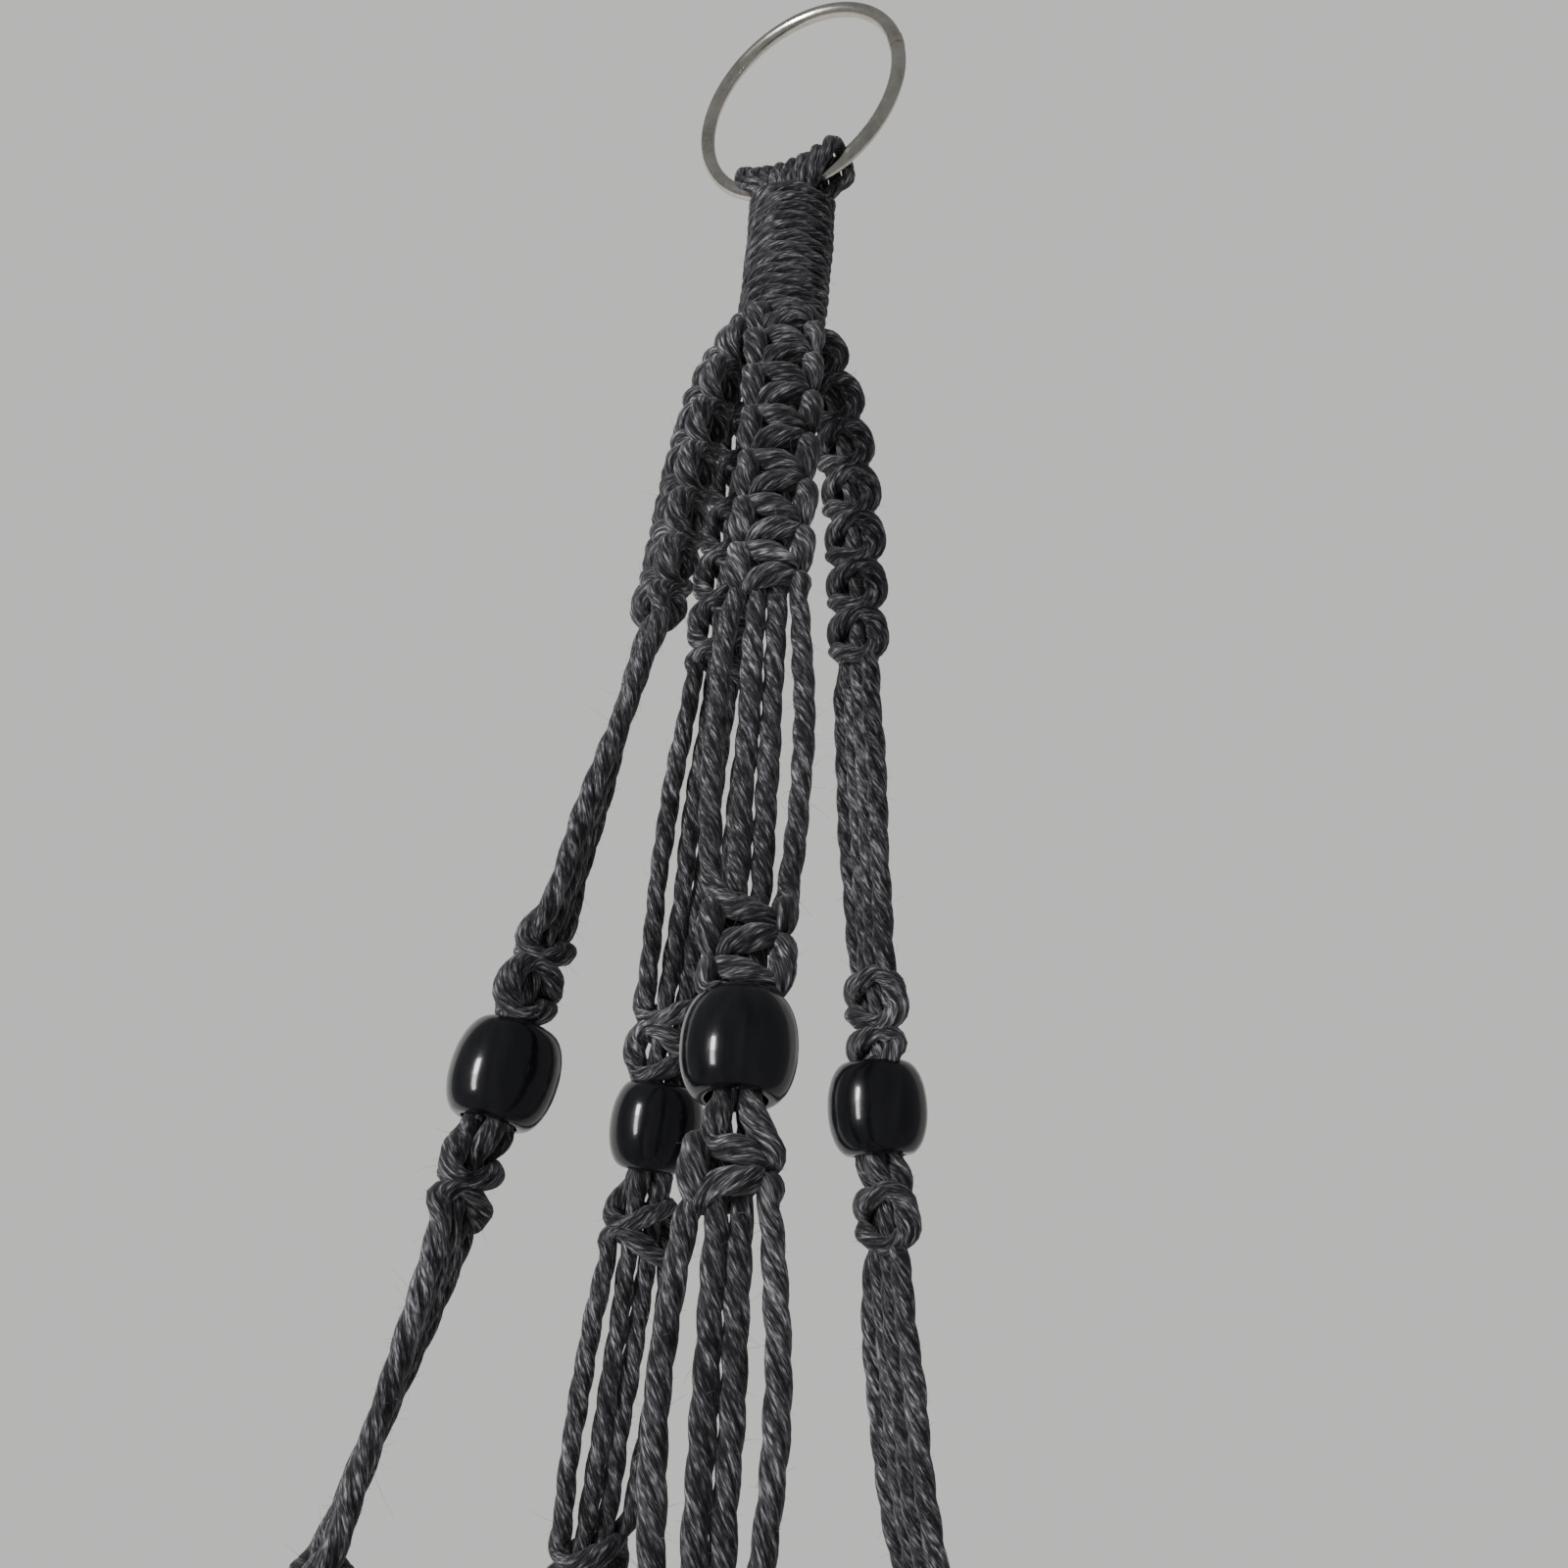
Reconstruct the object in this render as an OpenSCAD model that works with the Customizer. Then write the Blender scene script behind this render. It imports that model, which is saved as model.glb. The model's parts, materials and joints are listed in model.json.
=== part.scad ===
// Hanging macrame planter: a steel ring, sixteen strands of twisted cotton cord gathered under it,
// four knotted arms with a lacquered wooden bead on each, a two-row net for the pot and a tassel.
// Millimetres. The origin is where a hook bears, inside the top of the ring, and +Z is up.

/* [Ring] */
// Inside diameter of the hanging ring
ring_inner_d = 50; // [40:1:70]
// Diameter of the ring's wire
ring_wire_d = 3.5; // [2.5:0.1:5]
// Turn of the ring's plane about the vertical, in degrees
ring_turn = -30; // [-60:5:60]
// Gap between the wire's lowest line and the wrap under it
ring_gap = 3.3; // [3.2:0.1:5]
// Where the ring's butt weld is, in degrees from the ring's right side
weld_at = 12; // [-30:1:150]

/* [Cord] */
// Diameter of the twisted cord
cord_d = 4; // [3:0.1:4.2]
// Free space left round the ring's wire inside the loops of cord
loop_clearance = 1.9; // [1.8:0.1:2.5]
// Spacing of the eight loops side by side along the wire
loop_pitch = 3.4; // [2.8:0.1:3.5]

/* [Wraps] */
// Outside diameter of the wrap under the ring
top_wrap_d = 20.8; // [19:0.1:26]
// Number of turns in the wrap under the ring
top_wrap_turns = 12; // [6:1:14]
// Outside diameter of the wrap over the tassel
base_wrap_d = 22.4; // [20.5:0.1:26]
// Number of turns in the wrap over the tassel
base_wrap_turns = 9; // [6:1:12]
// Height of one turn of a wrap
turn_pitch = 3.2; // [2.6:0.1:3.6]

/* [Square knots] */
// Length of one half of a square knot
half_knot_l = 5.8; // [5:0.1:6.6]
// Width of a row of square knots, over its side loops
knot_w = 17.4; // [16.6:0.1:19]
// Thickness of a row of square knots
knot_t = 10.6; // [9.6:0.1:11.4]
// Halves of knots in the long row at the head of each arm
head_halves = 14; // [10:2:20]
// Halves of knots above each bead, and below it
bead_halves = 3; // [2:1:4]
// Halves of knots in the short row at the foot of each arm
foot_halves = 8; // [4:2:10]
// Halves of knots in each knot of the net
net_halves = 3; // [2:1:4]

/* [Beads] */
// Outside diameter of a bead
bead_d = 20; // [18:0.5:24]
// Length of a bead
bead_l = 18.5; // [15:0.5:21]
// Diameter of a bead's flat ends
bead_end_d = 14; // [12.5:0.5:16]
// Diameter of the hole through a bead
bead_bore_d = 10.6; // [10.4:0.1:12]
// Play between a bead and the knots that hold it, at each end
bead_play = 0.4; // [0.3:0.1:1]

/* [Arms] */
// Direction of each arm about the vertical: front, right, back and left
arm_turn = [-84, 25, 112, 201]; // [-180:1:220]
// Distance from the middle to the end of each long row
row_reach = [21.5, 23.5, 21.5, 22.5]; // [18:0.5:30]
// Distance from the middle to the foot of the knots under each bead
bead_reach = [46, 37, 44, 47]; // [34:0.5:52]
// Distance from the middle to the head of each short row
foot_reach = [58, 48, 56, 60]; // [44:0.5:66]
// Distance from the middle to the end of each short row
split_reach = [67, 62, 66, 68]; // [58:0.5:72]
// Free length of the strands above the beads
upper_l = [69.5, 68.5, 72.5, 72.5]; // [50:0.5:90]
// Free length of the strands below the beads
lower_l = [58.5, 59.5, 55.5, 55.5]; // [45:0.5:80]

/* [Net] */
// Drop from the short rows to the first knots of the net
net_drop = 80; // [70:1:100]
// Drop from the first knots to the second knots of the net
cross_drop = 55; // [50:1:70]
// Distance from the middle to the first knots of the net
net_reach = 74; // [68:0.5:80]
// Distance from the middle to the second knots of the net
cross_reach = 60; // [54:0.5:66]
// Drop from the second knots to the wrap over the tassel
base_drop = 30; // [27:1:45]

/* [Tassel] */
// Length of the longest tassel strand
tassel_l = 190; // [120:5:260]

/* [Hidden] */

ARMS = ["front", "right", "back", "left"];
GAPS = ["front_right", "back_right", "back_left", "front_left"];
CHARCOAL = [0.16, 0.16, 0.17];
BLACK_LACQUER = [0.02, 0.02, 0.025];
NICKEL = [0.72, 0.69, 0.62];

// Ring and the loops over it
wire_r = ring_wire_d / 2;
ring_r = ring_inner_d / 2 + wire_r;
ring_z = -ring_inner_d / 2;
wire_low_z = ring_z - ring_r;
loops = 8;
loop_r = loop_pitch / 2 - 0.05;
loop_mid_r = wire_r + loop_clearance + loop_r;
loop_sag = 0.4;
leg_step = 18;
weld_grow = 0.14;
weld_angle = 7;

// Wraps
strand_r = cord_d / 2;
top_wrap_l = top_wrap_turns * turn_pitch;
top_wrap_z = wire_low_z - ring_gap;
arms_z = top_wrap_z - top_wrap_l;
wrap_skin = 2;
core_play = 0.1;
core_r = top_wrap_d / 2 - wrap_skin - core_play;

// Where the four strands of an arm lie across it: two at the sides, two in the middle
side_at = 6.2;
mid_at = strand_r + 0.05;
LANES = [-side_at, -mid_at, mid_at, side_at];

// Faces round a tube and round a row of knots
tube_sides = 8;
row_sides = 12;
rings_per_half = 3;

// The arms' knees in their own upright planes, as [distance from the middle, height]
row_l = head_halves * half_knot_l;
function bead_run_l(i) = upper_l[i] + 2 * bead_halves * half_knot_l + bead_l + 2 * bead_play;
short_row_l = foot_halves * half_knot_l;
row_start_reach = knot_t / 2 + 0.3;
row_start_lean = 34;
function drop(l, a, b) = sqrt(l * l - (b - a) * (b - a));
function row_end(i) = [row_reach[i], arms_z - drop(row_l, row_start_reach, row_reach[i]) + 1.2];
function bead_end(i) = [bead_reach[i], row_end(i)[1] - drop(bead_run_l(i), row_reach[i], bead_reach[i])];
function foot_start(i) = [foot_reach[i], bead_end(i)[1] - drop(lower_l[i], bead_reach[i], foot_reach[i])];
function foot_end(i) = [split_reach[i], foot_start(i)[1] - drop(short_row_l, foot_reach[i], split_reach[i])];

// The net hangs below the shortest arm
net_knot_l = net_halves * half_knot_l;
feet_z = min([for (i = [0:3]) foot_end(i)[1]]);
net_z = feet_z - net_drop;
cross_z = net_z - net_knot_l - cross_drop;
base_z = cross_z - net_knot_l - base_drop;
base_wrap_l = base_wrap_turns * turn_pitch;
tassel_z = base_z - base_wrap_l;
// Lean of the net's knots: out above the pot's widest part, in below it
net_lean = -7;
cross_lean = -14;

// Outer ring of twelve strands and inner four, where sixteen pass through the lower wrap
outer_at = (strand_r + 0.05) / sin(15);
inner_at = (strand_r + 0.05) * sqrt(2);

// How a tassel strand opens as it falls: share of its length, and times its distance from the middle
TASSEL_ROUTE = [[0, 1], [0.1, 1.03], [0.3, 1.16], [0.5, 1.3], [0.7, 1.38], [0.85, 1.43], [1, 1.46]];
TASSEL_TRIM = [0, 7, 3, 10, 5, 12, 2, 8];

// Vectors: an arm's own axes are out from the middle, across it, and down along it
function unit(v) = v / norm(v);
function out_dir(turn) = [cos(turn), sin(turn), 0];
function across_dir(turn) = [-sin(turn), cos(turn), 0];
function in_plane(turn, p) = [p[0] * cos(turn), p[0] * sin(turn), p[1]];
function between(turn_a, turn_b) = (turn_a + turn_b) / 2;
function next_turn(i) = i < 3 ? arm_turn[i + 1] : arm_turn[0] + 360;
function last_turn(i) = i > 0 ? arm_turn[i - 1] : arm_turn[3] - 360;
function gap_turn(i) = between(arm_turn[i], next_turn(i));
function cross_turn(i) = between(i > 0 ? gap_turn(i - 1) : gap_turn(3) - 360, gap_turn(i));
function bundle_turn(i) = -78 + 90 * i;

// Cubic curve from p0 in direction d0 to p1 in direction d1, with handles h0 and h1
function curve_at(p0, d0, h0, p1, d1, h1, u) =
    let (a = p0 + d0 * h0, b = p1 - d1 * h1, v = 1 - u)
    v * v * v * p0 + 3 * v * v * u * a + 3 * v * u * u * b + u * u * u * p1;
function heading(points, k) =
    unit(points[min(k + 1, len(points) - 1)] - points[max(k - 1, 0)]);

// Closed solid through rings that have the same number of points
module skin(rings) {
    m = len(rings[0]);
    last = (len(rings) - 1) * m;
    polyhedron(
        points = [for (r = rings) each r],
        faces = concat(
            [[for (k = [m - 1:-1:0]) k]],
            [for (i = [0:len(rings) - 2], k = [0:m - 1], half = [0, 1])
                let (a = i * m + k, b = i * m + (k + 1) % m)
                half == 0 ? [a, b + m, a + m] : [a, b, b + m]],
            [[for (k = [0:m - 1]) last + k]]),
        convexity = 6);
}

// One strand of cord from p0 to p1
module strand(p0, d0, h0, p1, d1, h1, turn, steps) {
    points = [for (k = [0:steps]) curve_at(p0, d0, h0, p1, d1, h1, k / steps)];
    skin([for (k = [0:steps])
        let (t = k == 0 ? d0 : k == steps ? d1 : heading(points, k),
             side = unit(cross(t, out_dir(turn))),
             up = cross(side, t))
        [for (j = [0:tube_sides - 1])
            points[k] + strand_r * (cos(360 * j / tube_sides) * side + sin(360 * j / tube_sides) * up)]]);
}

// Half width of a row of knots a given way along it: the loops on its two sides alternate
function row_half_w(along, side) = knot_w / 2 - 0.7 + 0.7 * side * cos(180 * along / half_knot_l);
function row_half_t(along) = knot_t / 2 - 0.3 + 0.3 * cos(360 * along / half_knot_l);
function soft(x) = sign(x) * pow(abs(x), 0.7);

// Section of a row: a rounded bar, kept inside the wedge that its arm has between its neighbours
function row_section(p, down, turn, along, limit_next, limit_last) =
    let (across = across_dir(turn), face = cross(across, down))
    [for (j = [0:row_sides - 1])
        let (c = soft(cos(360 * (j + 0.5) / row_sides)), s = soft(sin(360 * (j + 0.5) / row_sides)),
             n = s * row_half_t(along),
             reach = max(0.25, norm([p[0], p[1]]) - n * norm([face[0], face[1]])),
             room = reach * tan(c > 0 ? limit_next : limit_last) - 0.15,
             w = c > 0 ? min(c * row_half_w(along, 1), room) : max(c * row_half_w(along, -1), -room))
        p + across * w + face * n];

// Straight row of half knots from p0, heading down
module row(p0, down, turn, halves) {
    steps = halves * rings_per_half;
    skin([for (k = [0:steps])
        let (along = k / rings_per_half * half_knot_l)
        row_section(p0 + down * along, down, turn, along, 89, 89)]);
}

function run_dir(i, a, b) = unit(in_plane(arm_turn[i], b) - in_plane(arm_turn[i], a));
function bead_dir(i) = run_dir(i, row_end(i), bead_end(i));
function foot_dir(i) = run_dir(i, foot_start(i), foot_end(i));
function along_run(i, l) = in_plane(arm_turn[i], row_end(i)) + bead_dir(i) * l;
function leaning(turn, lean) = unit([sin(lean) * cos(turn), sin(lean) * sin(turn), -cos(lean)]);
function net_p(i) = in_plane(gap_turn(i), [net_reach, net_z]);
function net_dir(i) = leaning(gap_turn(i), net_lean);
function cross_p(i) = in_plane(cross_turn(i), [cross_reach, cross_z]);
function cross_knot_dir(i) = leaning(cross_turn(i), cross_lean);

// The steel ring, closed by a butt weld
module ring() {
    color(NICKEL)
        translate([0, 0, ring_z])
            rotate([0, 0, ring_turn])
                rotate([90, 0, 0]) {
                    rotate_extrude($fn = 96) translate([ring_r, 0]) circle(r = wire_r, $fn = 40);
                    rotate([0, 0, weld_at])
                        rotate_extrude(angle = weld_angle, $fn = 96)
                            translate([ring_r, 0]) circle(r = wire_r + weld_grow, $fn = 40);
                }
}

function loop_x(i) = (i - (loops - 1) / 2) * loop_pitch;
function loop_z(i) = ring_z - sqrt(ring_r * ring_r - loop_x(i) * loop_x(i)) - loop_sag;

// Eight cords folded over the ring's lowest wire
module ring_loops() {
    color(CHARCOAL)
        rotate([0, 0, ring_turn])
            for (i = [0:loops - 1])
                translate([loop_x(i), 0, loop_z(i)])
                    rotate([0, 0, 90])
                        rotate([90, 0, 0])
                            rotate_extrude(angle = 180, $fn = 64)
                                translate([loop_mid_r, 0]) circle(r = loop_r, $fn = 24);
}

// The loops' sixteen legs closing in under the wire, and the bundle they make inside the wrap
module gathered_legs() {
    leg_sides = 10;
    steps = 5;
    leg_r = loop_r - 0.2;
    foot_r = core_r - loop_r - 0.1;
    color(CHARCOAL) {
        rotate([0, 0, ring_turn])
            for (i = [0:loops - 1], side = [-1, 1]) {
                foot_turn = 90 + ((loops - 1) / 2 - i) * leg_step;
                head = [loop_x(i), side * loop_mid_r, loop_z(i) - 0.02];
                foot = [foot_r * cos(foot_turn), side * foot_r * sin(foot_turn), top_wrap_z - 1];
                h = head[2] - foot[2];
                skin([for (k = [0:steps])
                    let (c = curve_at(head, [0, 0, -1], 0.6 * h, foot, [0, 0, -1], 0.3 * h, k / steps))
                    [for (j = [0:leg_sides - 1])
                        c + leg_r * [cos(360 * j / leg_sides), sin(360 * j / leg_sides), 0]]]);
            }
        translate([0, 0, arms_z]) cylinder(r = core_r, h = top_wrap_l - 0.2, $fn = 64);
    }
}

// Profile of a wrap: one rounded rib for each turn
module wrap_profile(d, turns, inner) {
    rib_r = turn_pitch * 0.62;
    difference() {
        union() {
            for (k = [0:turns - 1])
                translate([d / 2 - rib_r, (k + 0.5) * turn_pitch]) circle(r = rib_r, $fn = 32);
            square([d / 2 - rib_r, turns * turn_pitch]);
        }
        translate([-1, -10]) square([inner + 1, turns * turn_pitch + 20]);
        translate([0, -10]) square([d, 10]);
        translate([0, turns * turn_pitch]) square([d, 10]);
    }
}

module top_wrap() {
    color(CHARCOAL)
        translate([0, 0, arms_z])
            rotate_extrude($fn = 64) wrap_profile(top_wrap_d, top_wrap_turns, top_wrap_d / 2 - wrap_skin);
}

module base_wrap() {
    color(CHARCOAL)
        translate([0, 0, tassel_z])
            rotate_extrude($fn = 64) wrap_profile(base_wrap_d, base_wrap_turns, 0);
}

// Long row of square knots, curving out from under the wrap
module long_row(i) {
    turn = arm_turn[i];
    steps = head_halves * rings_per_half;
    p0 = in_plane(turn, [row_start_reach, arms_z]);
    p1 = in_plane(turn, row_end(i));
    d0 = leaning(turn, row_start_lean);
    limit_next = (next_turn(i) - turn) / 2;
    limit_last = (turn - last_turn(i)) / 2;
    points = [for (k = [0:steps]) curve_at(p0, d0, row_l / 3, p1, bead_dir(i), row_l / 3, k / steps)];
    color(CHARCOAL)
        skin([for (k = [0:steps])
            let (down = k == 0 ? [0, 0, -1] : k == steps ? bead_dir(i) : heading(points, k))
            row_section(points[k], down, turn, k / rings_per_half * half_knot_l, limit_next, limit_last)]);
}

// Four strands from one knot to the next, then the same four side by side through the bead
module upper_strands(i) {
    turn = arm_turn[i];
    d = bead_dir(i);
    bow = 1.4;
    hole_l = bead_l + 2 * bead_play;
    color(CHARCOAL) {
        for (k = [0:3]) {
            across = across_dir(turn);
            lean = unit(d + across * sign(LANES[k]) * (k == 0 || k == 3 ? bow / 12 : 0));
            back = unit(d - across * sign(LANES[k]) * (k == 0 || k == 3 ? bow / 12 : 0));
            straight_p = along_run(i, 0) + across * LANES[k];
            straight_q = along_run(i, upper_l[i]) + across * LANES[k];
            strand(straight_p, lean, upper_l[i] / 3, straight_q, back, upper_l[i] / 3, turn, 6);
        }
        translate(along_run(i, upper_l[i] + bead_halves * half_knot_l))
            rotate([0, 0, turn])
                rotate([0, 180 - asin(norm([d[0], d[1]])), 0])
                    for (x = [-1, 1], y = [-1, 1])
                        translate([x * mid_at, y * mid_at, 0]) cylinder(r = strand_r, h = hole_l, $fn = 32);
    }
}

module upper_knots(i) {
    color(CHARCOAL) row(along_run(i, upper_l[i]), bead_dir(i), arm_turn[i], bead_halves);
}

// Lacquered wooden bead, barrel shaped, with a plain hole
module bead(i) {
    d = bead_dir(i);
    swell = (bead_d - bead_end_d) / 2;
    swell_r = (bead_l * bead_l / 4 + swell * swell) / (2 * swell);
    color(BLACK_LACQUER)
        translate(along_run(i, upper_l[i] + bead_halves * half_knot_l + bead_play + bead_l / 2))
            rotate([0, 0, arm_turn[i]])
                rotate([0, 180 - asin(norm([d[0], d[1]])), 0])
                    difference() {
                        rotate_extrude($fn = 96)
                            intersection() {
                                translate([bead_d / 2 - swell_r, 0]) circle(r = swell_r, $fn = 200);
                                translate([0, -bead_l / 2]) square([bead_d, bead_l]);
                            }
                        translate([0, 0, -bead_l]) cylinder(d = bead_bore_d, h = 2 * bead_l, $fn = 64);
                    }
}

module lower_knots(i) {
    start = upper_l[i] + bead_halves * half_knot_l + bead_l + 2 * bead_play;
    color(CHARCOAL) row(along_run(i, start), bead_dir(i), arm_turn[i], bead_halves);
}

module lower_strands(i) {
    turn = arm_turn[i];
    across = across_dir(turn);
    p = in_plane(turn, bead_end(i));
    q = in_plane(turn, foot_start(i));
    color(CHARCOAL)
        for (k = [0:3])
            strand(p + across * LANES[k], bead_dir(i), lower_l[i] / 3, q + across * LANES[k], foot_dir(i),
                lower_l[i] / 3, turn, 6);
}

module short_row(i) {
    color(CHARCOAL) row(in_plane(arm_turn[i], foot_start(i)), foot_dir(i), arm_turn[i], foot_halves);
}

// Each arm's strands part: two go to the knot on one side of it, two to the knot on the other
module net_strands(i) {
    turn = arm_turn[i];
    p = in_plane(turn, foot_end(i));
    before = i > 0 ? i - 1 : 3;
    handle = net_drop * 0.36;
    lead = net_drop * 0.06;
    color(CHARCOAL)
        for (k = [0:3]) {
            to = k < 2 ? before : i;
            lane = k < 2 ? LANES[k + 2] : LANES[k - 2];
            outer = k == 0 || k == 3;
            h0 = outer ? handle - lead : handle + lead;
            h1 = outer ? handle + lead : handle - lead;
            strand(p + across_dir(turn) * LANES[k], foot_dir(i), h0,
                   net_p(to) + across_dir(gap_turn(to)) * lane, net_dir(to), h1, turn, 8);
        }
}

module net_knot(i) {
    color(CHARCOAL) row(net_p(i), net_dir(i), gap_turn(i), net_halves);
}

module cross_strands(i) {
    turn = gap_turn(i);
    p = net_p(i) + net_dir(i) * net_knot_l;
    after = i < 3 ? i + 1 : 0;
    handle = cross_drop * 0.36;
    lead = cross_drop * 0.06;
    color(CHARCOAL)
        for (k = [0:3]) {
            to = k < 2 ? i : after;
            lane = k < 2 ? LANES[k + 2] : LANES[k - 2];
            outer = k == 0 || k == 3;
            h0 = outer ? handle - lead : handle + lead;
            h1 = outer ? handle + lead : handle - lead;
            strand(p + across_dir(turn) * LANES[k], net_dir(i), h0,
                   cross_p(to) + across_dir(cross_turn(to)) * lane, cross_knot_dir(to), h1, turn, 8);
        }
}

module cross_knot(i) {
    color(CHARCOAL) row(cross_p(i), cross_knot_dir(i), cross_turn(i), net_halves);
}

// Place of strand k of arm i in the bundle, on the lower wrap's flat end
function bundle_p(i, k, z) =
    let (far = k == 2 ? inner_at : outer_at, turn = bundle_turn(i) + [-30, 0, 0, 30][k])
    [far * cos(turn), far * sin(turn), z];

module base_strands(i) {
    turn = cross_turn(i);
    p = cross_p(i) + cross_knot_dir(i) * net_knot_l;
    color(CHARCOAL)
        for (k = [0:3])
            strand(p + across_dir(turn) * LANES[k], cross_knot_dir(i), [22, 26, 17, 22][k],
                   bundle_p(i, k, base_z), [0, 0, -1], [13, 11, 24, 13][k], turn, 9);
}

module tassel(i) {
    color(CHARCOAL)
        for (k = [0:3]) {
            long = tassel_l - TASSEL_TRIM[(2 * i + 3 * k) % len(TASSEL_TRIM)];
            top = bundle_p(i, k, tassel_z);
            points = [for (r = TASSEL_ROUTE) [top[0] * r[1], top[1] * r[1], tassel_z - long * r[0]]];
            skin([for (j = [0:len(points) - 1])
                let (t = j == 0 || j == len(points) - 1 ? [0, 0, -1] : heading(points, j),
                     side = unit(cross(t, out_dir(bundle_turn(i)))),
                     up = cross(side, t))
                [for (m = [0:tube_sides - 1])
                    points[j] + strand_r * (cos(360 * m / tube_sides) * side + sin(360 * m / tube_sides) * up)]]);
        }
}

ring();
ring_loops();
gathered_legs();
top_wrap();
base_wrap();
for (i = [0:3]) {
    long_row(i);
    upper_strands(i);
    upper_knots(i);
    bead(i);
    lower_knots(i);
    lower_strands(i);
    short_row(i);
    net_strands(i);
    net_knot(i);
    cross_strands(i);
    cross_knot(i);
    base_strands(i);
    tassel(i);
}
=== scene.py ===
import itertools
import json
import math

import bpy
import numpy as np
from mathutils import Matrix, Vector


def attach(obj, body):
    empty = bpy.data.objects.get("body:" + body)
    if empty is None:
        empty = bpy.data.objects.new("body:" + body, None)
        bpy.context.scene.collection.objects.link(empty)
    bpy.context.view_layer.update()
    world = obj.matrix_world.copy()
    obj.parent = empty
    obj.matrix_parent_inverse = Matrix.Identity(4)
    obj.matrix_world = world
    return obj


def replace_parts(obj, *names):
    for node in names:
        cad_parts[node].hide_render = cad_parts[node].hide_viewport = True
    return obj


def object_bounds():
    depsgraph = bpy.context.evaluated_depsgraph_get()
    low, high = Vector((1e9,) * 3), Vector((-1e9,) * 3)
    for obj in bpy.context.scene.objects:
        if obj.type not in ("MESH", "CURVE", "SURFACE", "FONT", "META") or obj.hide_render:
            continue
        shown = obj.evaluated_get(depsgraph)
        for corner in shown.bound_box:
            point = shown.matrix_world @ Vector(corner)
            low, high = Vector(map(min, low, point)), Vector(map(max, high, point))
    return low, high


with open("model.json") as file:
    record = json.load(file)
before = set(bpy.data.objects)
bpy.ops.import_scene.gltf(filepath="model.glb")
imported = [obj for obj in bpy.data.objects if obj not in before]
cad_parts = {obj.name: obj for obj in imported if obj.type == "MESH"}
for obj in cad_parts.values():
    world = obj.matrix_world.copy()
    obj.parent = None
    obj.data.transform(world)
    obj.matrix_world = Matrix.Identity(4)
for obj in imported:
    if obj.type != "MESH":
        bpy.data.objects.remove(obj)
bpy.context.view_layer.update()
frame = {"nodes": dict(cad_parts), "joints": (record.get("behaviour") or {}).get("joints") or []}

# --- Hanging ring -----------------------------------------------------------
# A 50 mm craft ring of round steel wire, butt welded and nickel plated. The
# CAD ring has the true shape, so it stays and gets its worn plating here.
class Value:
    """A node's output that adds Math nodes to its tree when it is used in an expression."""

    def __init__(self, finish, socket):
        self.finish, self.socket = finish, socket

    def __add__(self, x):
        return self.finish.maths("ADD", self, x)

    def __sub__(self, x):
        return self.finish.maths("SUBTRACT", self, x)

    def __rsub__(self, x):
        return self.finish.maths("SUBTRACT", x, self)

    def __mul__(self, x):
        return self.finish.maths("MULTIPLY", self, x)

    def __pow__(self, x):
        return self.finish.maths("POWER", self, x)

    __radd__, __rmul__ = __add__, __mul__


class Finish:
    """A material with a Principled shader, whose nodes are added by type, settings and inputs."""

    def __init__(self, name, **sockets):
        self.material = bpy.data.materials.new(name)
        self.material.use_nodes = True
        self.tree = self.material.node_tree
        self.shader = self.tree.nodes["Principled BSDF"]
        for socket, value in sockets.items():
            self.shader.inputs[socket.replace("_", " ")].default_value = value

    def add(self, kind, settings=None, inputs=None, output=0):
        node = self.tree.nodes.new("ShaderNode" + kind)
        for name, value in (settings or {}).items():
            if name == "stops":
                ramp = node.color_ramp
                while len(ramp.elements) < len(value):
                    ramp.elements.new(0.5)
                for element, (place, colour) in zip(ramp.elements, value):
                    element.position, element.color = place, (*colour, 1)
            else:
                setattr(node, name, value)
        for name, value in (inputs or {}).items():
            if isinstance(value, Value):
                self.tree.links.new(value.socket, node.inputs[name])
            else:
                node.inputs[name].default_value = value
        return Value(self, node.outputs[output])

    def maths(self, operation, *terms):
        return self.add("Math", {"operation": operation}, dict(enumerate(terms)))

    def feed(self, socket, value):
        self.tree.links.new(value.socket, self.shader.inputs[socket])


nickel = Finish("nickel_plate", Metallic=1.0, Roughness=0.25)
place = nickel.add("TexCoord", output="Object")
cloudy = nickel.add("TexNoise", {}, {"Vector": place, "Scale": 90.0, "Detail": 3.0}, "Fac")
rubbed = nickel.add("TexNoise", {}, {"Vector": place, "Scale": 700.0, "Detail": 4.0}, "Fac")
drawn = nickel.add("Mapping", {}, {"Vector": place, "Scale": (1.0, 1.0, 0.06)})
streaks = nickel.add("TexNoise", {}, {"Vector": drawn, "Scale": 2600.0, "Detail": 2.0}, "Fac")
tone = cloudy * 0.65 + rubbed * 0.35
nickel.feed(
    "Base Color",
    nickel.add(
        "ValToRGB",
        {"stops": [(0.3, (0.52, 0.48, 0.41)), (0.5, (0.76, 0.71, 0.62)), (0.75, (0.88, 0.84, 0.75))]},
        {"Fac": tone},
    ),
)
nickel.feed("Roughness", 0.06 + tone * 0.2 + streaks * 0.04)
scratches = {"Height": streaks + rubbed, "Strength": 0.08, "Distance": 0.0001}
nickel.feed("Normal", nickel.add("Bump", {}, scratches))
ring = frame["nodes"]["ring"]
ring.data.materials.clear()
ring.data.materials.append(nickel.material)

# --- Twisted cotton cord ----------------------------------------------------
# Soft 4 mm charcoal cotton, three plies laid in an S twist. Each cord is one
# long tube swept along its route, cut where one knot or span ends and the next
# begins, so that a piece of it stands for each node of the frame.
MM = 0.001
CORD_R = 2.0 * MM
LAY_LENGTH = 23.0 * MM
RING_STEP = 0.95 * MM
ROUND = 15
PLIES = 3

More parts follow.
